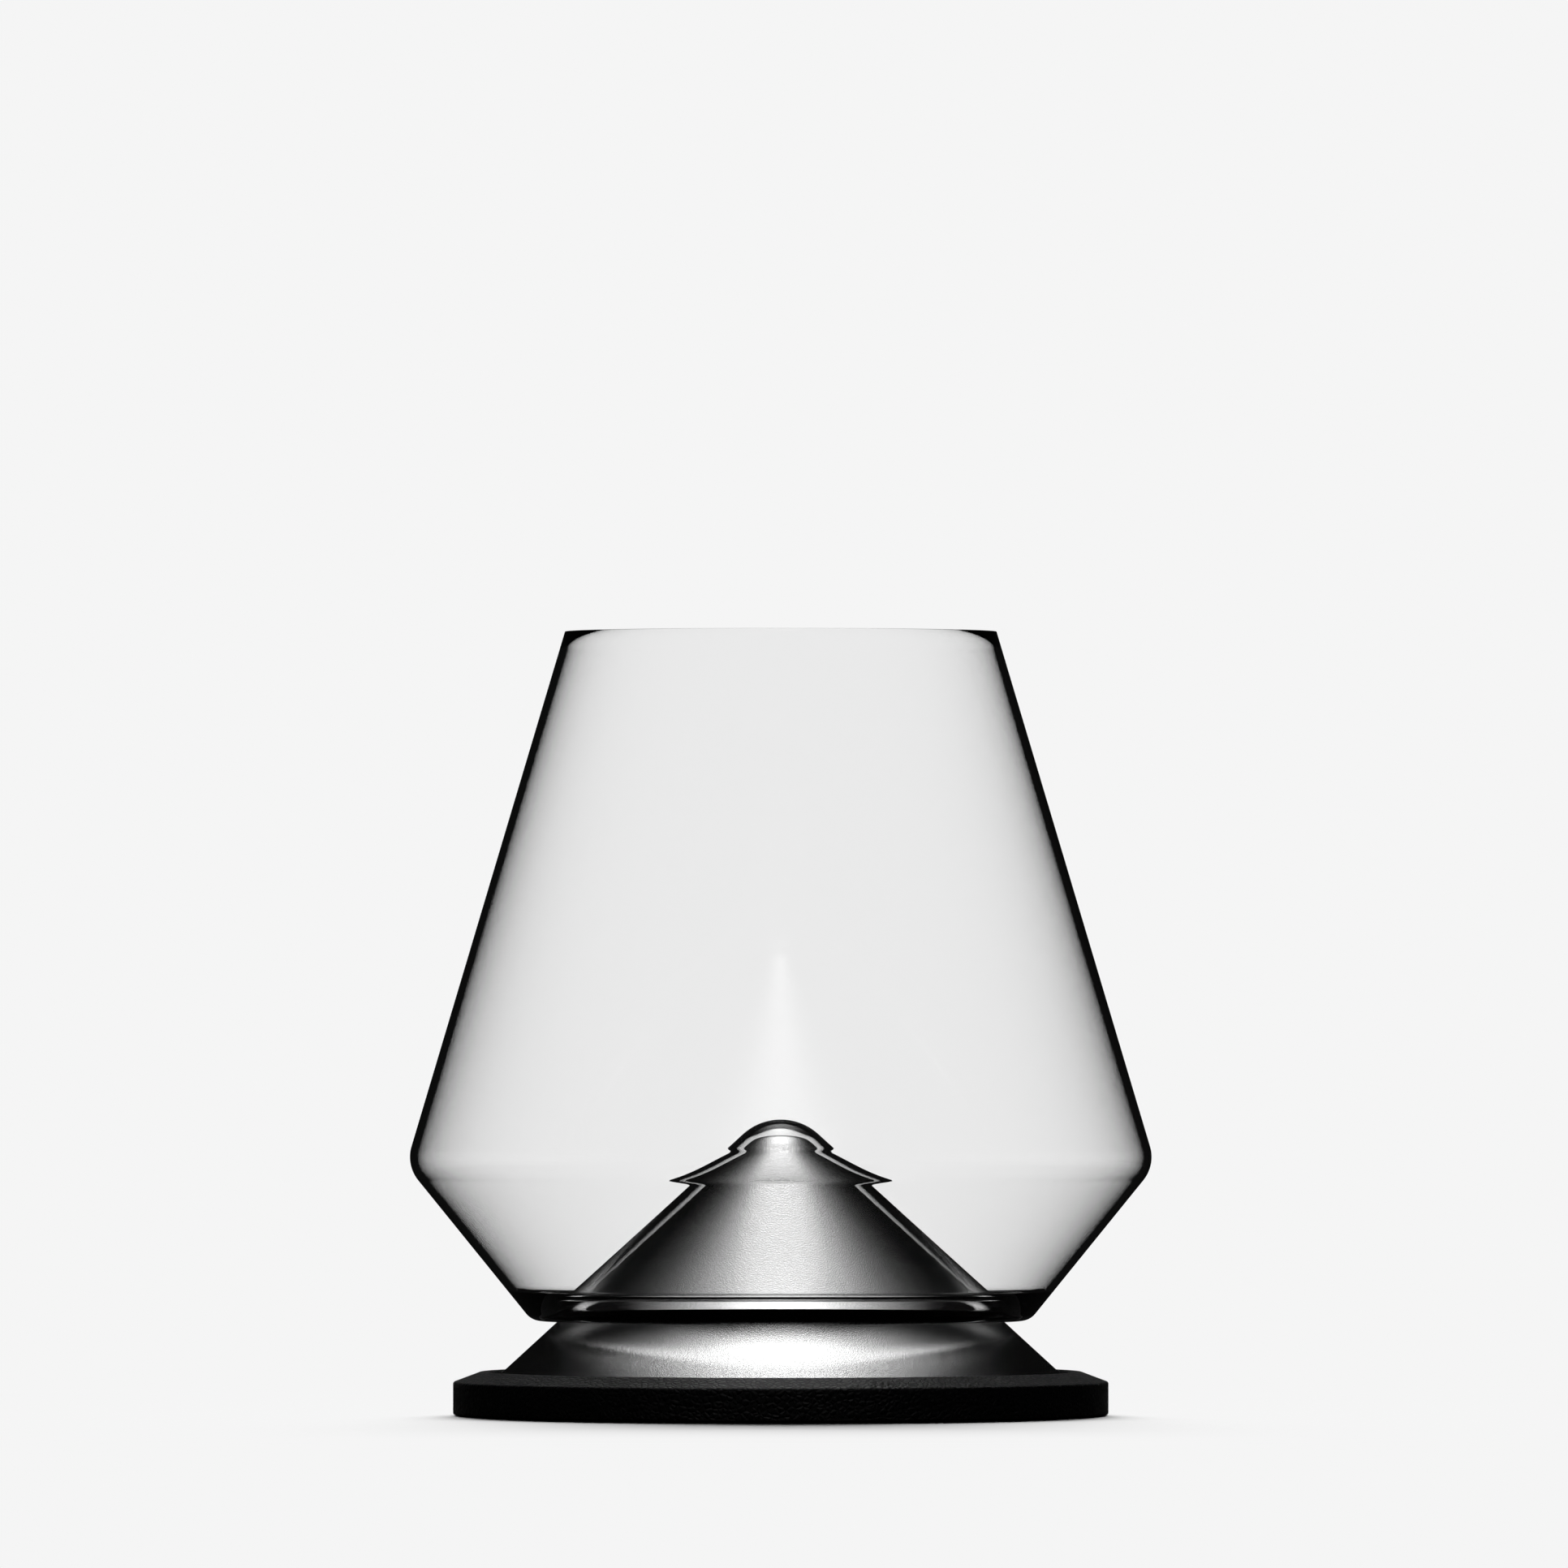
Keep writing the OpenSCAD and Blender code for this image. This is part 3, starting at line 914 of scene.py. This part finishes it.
class GLASS_OT_stage(bpy.types.Operator):
    """Set the pale table, the lights, the dark room and the camera"""

    bl_idname = "tasting_glass.stage"
    bl_label = "Stage"

    def execute(self, context):
        stage = context.scene.stage_settings
        self.set_table(context, stage)
        self.set_world(context, stage)
        self.set_fill(context, stage)
        self.set_camera(context, stage)
        context.scene.view_settings.view_transform = "Standard"
        return {"FINISHED"}

    @staticmethod
    def straight_view(nodes):
        """1 for rays that reach the camera straight or only through glass, 0 for the others."""
        bounces = nodes.ray("Glossy Depth") + nodes.ray("Diffuse Depth")
        return nodes.ray("Is Camera Ray") + nodes.ray("Is Transmission Ray") * (bounces < 0.5)

    @staticmethod
    def pale(nodes, stage, kind):
        """The backdrop's light, a little brighter through glass."""
        strength = 1 + stage.glow * nodes.ray("Is Transmission Ray")
        return nodes.add("ShaderNode" + kind, None, {"Color": rgba(stage.backdrop), "Strength": strength})

    @staticmethod
    def panel(nodes, aside, along, width, edge, near, far):
        """A soft panel overhead, from its places aside and along as shares of its height."""
        across = aside.maths("ABSOLUTE", aside / width)
        sides = across.maths("EXPONENT", -1 * across.maths("POWER", across, edge))
        return sides * nodes.fade(along, *near) * nodes.fade(along, *far)

    def set_table(self, context, stage):
        """A round table that takes the shadow, is dark in reflections and is clear from below."""
        mesh = bmesh.new()
        bmesh.ops.create_circle(mesh, cap_ends=True, radius=TABLE_RADIUS, segments=TABLE_SIDES)
        bmesh.ops.translate(mesh, verts=mesh.verts[:], vec=(0, 0, -TABLE_GAP))
        data = bpy.data.meshes.new("table")
        mesh.to_mesh(data)
        mesh.free()
        table = bpy.data.objects.new("table", data)
        context.scene.collection.objects.link(table)
        material, nodes = new_material("table_top")
        far = nodes.add("ShaderNodeVectorMath", {"operation": "LENGTH"}, {0: nodes.place()}, "Value")
        fade = nodes.fade(far, SHADOW_START, SHADOW_END)
        top = nodes.add("ShaderNodeBsdfDiffuse", None, {"Color": rgba(stage.table)})
        lit = nodes.blend(fade, top, self.pale(nodes, stage, "Emission"))
        dark = nodes.add("ShaderNodeBsdfDiffuse", None, {"Color": rgba(stage.room)})
        seen = nodes.blend(self.straight_view(nodes), dark, lit)
        below = nodes.add("ShaderNodeNewGeometry", output="Backfacing")
        clear = nodes.add("ShaderNodeBsdfTransparent")
        nodes.surface(nodes.blend(below, seen, clear))
        data.materials.append(material)

    def set_world(self, context, stage):
        """A pale backdrop to straight rays and a dark room to the others, with two lights if mirrored."""
        world = bpy.data.worlds.new("room")
        context.scene.world = world
        nodes = Graph(world)
        way = nodes.add("ShaderNodeTexCoord", output="Generated")
        x, y, z = (nodes.add("ShaderNodeSeparateXYZ", None, {0: way}, part) for part in "XYZ")
        height = z.maths("MAXIMUM", z, LOWEST_LIGHT)
        aside = x / height
        along = y / height
        near = (-stage.panel_front, stage.panel_full)
        far = (stage.panel_back, stage.panel_back - stage.panel_soft)
        above = self.panel(nodes, aside, along, stage.panel_width, stage.panel_edge, near, far)
        front = self.panel(nodes, aside, along, FRONT_WIDTH, FRONT_EDGE, FRONT_NEAR, FRONT_FAR)
        strength = stage.light * above + stage.front * front
        overhead = nodes.add("ShaderNodeBackground", None, {"Color": (1, 1, 1, 1), "Strength": strength})
        room = nodes.add("ShaderNodeBackground", None, {"Color": rgba(stage.room)})
        mirrored = nodes.add("ShaderNodeAddShader", None, {0: room, 1: overhead})
        matt = nodes.ray("Diffuse Depth") > 0.5
        lit = nodes.blend(matt, mirrored, room)
        seen = nodes.blend(self.straight_view(nodes), lit, self.pale(nodes, stage, "Background"))
        nodes.add("ShaderNodeOutputWorld", None, {"Surface": seen})
        # The lights depend on the kind of ray, which a map of the world can't tell
        world.cycles.sampling_method = "NONE"

    def set_fill(self, context, stage):
        """A soft light from behind that only matt surfaces take."""
        data = bpy.data.lights.new("fill", "SUN")
        data.energy = stage.fill
        data.angle = stage.fill_spread
        fill = bpy.data.objects.new("fill", data)
        fill.rotation_euler = (stage.fill_rise - math.pi / 2, 0, 0)
        fill.visible_glossy = False
        fill.visible_transmission = False
        context.scene.collection.objects.link(fill)

    def set_camera(self, context, stage):
        """The camera where the photograph's stood."""
        data = bpy.data.cameras.new("camera")
        data.lens = stage.lens
        data.sensor_width = SENSOR
        data.clip_end = FARTHEST
        camera = bpy.data.objects.new("camera", data)
        camera.location = (stage.aside, -stage.distance, stage.eye)
        camera.rotation_euler = (math.pi / 2 + stage.tilt, 0, 0)
        context.scene.collection.objects.link(camera)
        context.scene.camera = camera


class GLASS_PT_panel(bpy.types.Panel):
    """Lists the stage and the pieces in the order in which they are made, and then their settings"""

    bl_label = "Tasting glass"
    bl_idname = "GLASS_PT_panel"
    bl_space_type = "VIEW_3D"
    bl_region_type = "UI"
    bl_category = "Tasting glass"

    def draw(self, context):
        for operator in OPERATORS:
            self.layout.operator(operator.bl_idname)
        for group in GROUPS:
            settings = getattr(context.scene, group)
            box = self.layout.box()
            for name in settings.__annotations__:
                box.prop(settings, name)


OPERATORS = (
    GLASS_OT_stage,
    GLASS_OT_coaster,
    GLASS_OT_lining,
    GLASS_OT_cone,
    GLASS_OT_plate,
    GLASS_OT_plug,
    GLASS_OT_bowl,
    GLASS_OT_inside,
)
GROUPS = {
    "coaster_sizes": CoasterSizes,
    "cone_sizes": ConeSizes,
    "plug_sizes": PlugSizes,
    "glass_sizes": GlassSizes,
    "stage_settings": StageSettings,
}


def register():
    for part in (*GROUPS.values(), *OPERATORS, GLASS_PT_panel):
        bpy.utils.register_class(part)
    for name, group in GROUPS.items():
        setattr(bpy.types.Scene, name, PointerProperty(type=group))


def unregister():
    for name in GROUPS:
        delattr(bpy.types.Scene, name)
    for part in (GLASS_PT_panel, *reversed(OPERATORS), *reversed(GROUPS.values())):
        bpy.utils.unregister_class(part)


def main():
    """Makes every piece and the stage."""
    register()
    for operator in OPERATORS:
        family, name = operator.bl_idname.split(".")
        getattr(getattr(bpy.ops, family), name)()


if __name__ == "__main__":
    main()
